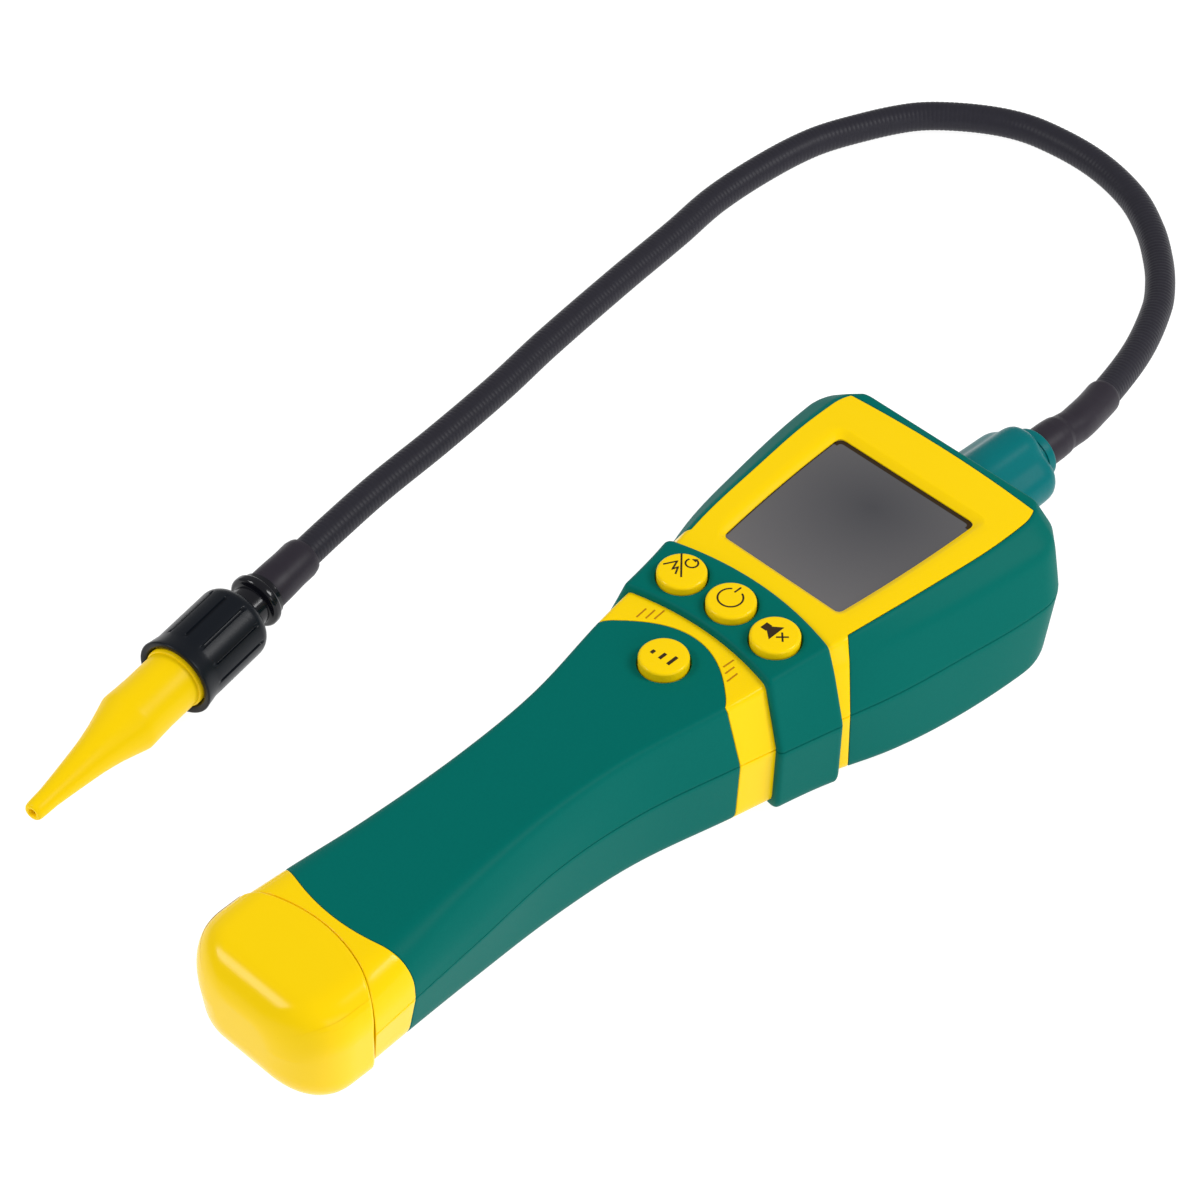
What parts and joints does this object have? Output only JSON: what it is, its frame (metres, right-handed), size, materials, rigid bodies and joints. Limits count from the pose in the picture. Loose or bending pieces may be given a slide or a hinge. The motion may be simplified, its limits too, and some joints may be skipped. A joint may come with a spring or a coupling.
{
  "type": "portable gas leak detector",
  "caption": "Handheld gas leak detector with a tapered grip, keypad, display window and a stiff gooseneck probe ending in a conical sensor nozzle.",
  "frame": {"origin": "bottom centre of the case's bounding box, without the gooseneck and what it carries", "axes": "+X to the case's right side seen with the display up and the probe end away, +Y from the battery cap to the probe end, +Z out of the display"},
  "size_m": [0.1791, 0.3787, 0.0413],
  "materials": {
    "yellow_plastic": "gloss",
    "teal_rubber": "matte",
    "black_rubber": "matte",
    "black_plastic": "satin",
    "display_glass": "gloss",
    "display_panel": "matte",
    "circuit_board": "satin",
    "white_rubber": "matte",
    "cell_jacket": "gloss",
    "bright_metal": "satin"
  },
  "bodies": {
    "case": {"front_shell": "yellow_plastic", "rear_shell": "yellow_plastic", "front_head_skin": "teal_rubber", "rear_head_skin": "teal_rubber", "front_bridge": "teal_rubber", "rear_bridge": "teal_rubber", "front_grip": "teal_rubber", "rear_grip": "teal_rubber", "battery_tray": "black_plastic", "battery_cells": "cell_jacket", "tray_contacts": "bright_metal", "display_window": "display_glass", "window_gasket": "black_rubber", "display_module": "display_panel", "main_board": "circuit_board", "keypad": "white_rubber", "buzzer": "black_plastic", "pump_body": "black_plastic", "pump_motor": "bright_metal", "air_tube": "white_rubber", "case_screws": "bright_metal", "probe_boss": "teal_rubber", "boss_nut": "teal_rubber", "base_sleeve": "black_rubber", "gooseneck": "black_rubber", "tip_sleeve": "black_rubber", "sensor_socket": "black_plastic", "socket_seal": "black_rubber", "sensor_can": "bright_metal"},
    "cap": {"battery_cap": "yellow_plastic", "cap_contacts": "bright_metal"},
    "peak": {"button_peak": "yellow_plastic"},
    "power": {"button_power": "yellow_plastic"},
    "mute": {"button_mute": "yellow_plastic"},
    "level": {"button_level": "yellow_plastic"},
    "rotor": {"pump_rotor": "white_rubber"},
    "nozzle": {"sensor_nozzle": "yellow_plastic", "filter_disc": "white_rubber"},
    "collar": {"sensor_collar": "black_plastic"}
  },
  "joints": [
    {"name": "button_peak_press", "type": "slide", "parent": "case", "child": "peak", "axis": [0, 0, -1], "range_m": [0, 0.0008], "stiffness_N_per_m": 400, "springref_m": -0.0005},
    {"name": "button_power_press", "type": "slide", "parent": "case", "child": "power", "axis": [0, 0, -1], "range_m": [0, 0.0008], "stiffness_N_per_m": 400, "springref_m": -0.0005},
    {"name": "button_mute_press", "type": "slide", "parent": "case", "child": "mute", "axis": [0, 0, -1], "range_m": [0, 0.0008], "stiffness_N_per_m": 400, "springref_m": -0.0005},
    {"name": "button_level_press", "type": "slide", "parent": "case", "child": "level", "axis": [0, 0, -1], "range_m": [0, 0.0008], "stiffness_N_per_m": 400, "springref_m": -0.0005},
    {"name": "battery_cap_pull", "type": "slide", "parent": "case", "child": "cap", "axis": [0, -1, 0], "range_m": [0, 0.03]},
    {"name": "nozzle_pull", "type": "slide", "parent": "case", "child": "nozzle", "axis": [0.1736, -0.9848, 0], "range_m": [0, 0.04]},
    {"name": "collar_turn", "type": "hinge", "parent": "nozzle", "child": "collar", "pos_m": [-0.106, -0.018, 0.0106], "axis": [0.1736, -0.9848, 0], "range_deg": [0, 270]},
    {"name": "pump_spin", "type": "hinge", "parent": "case", "child": "rotor", "pos_m": [0, 0.066, 0.014], "axis": [0, 1, 0], "continuous": true}
  ]
}
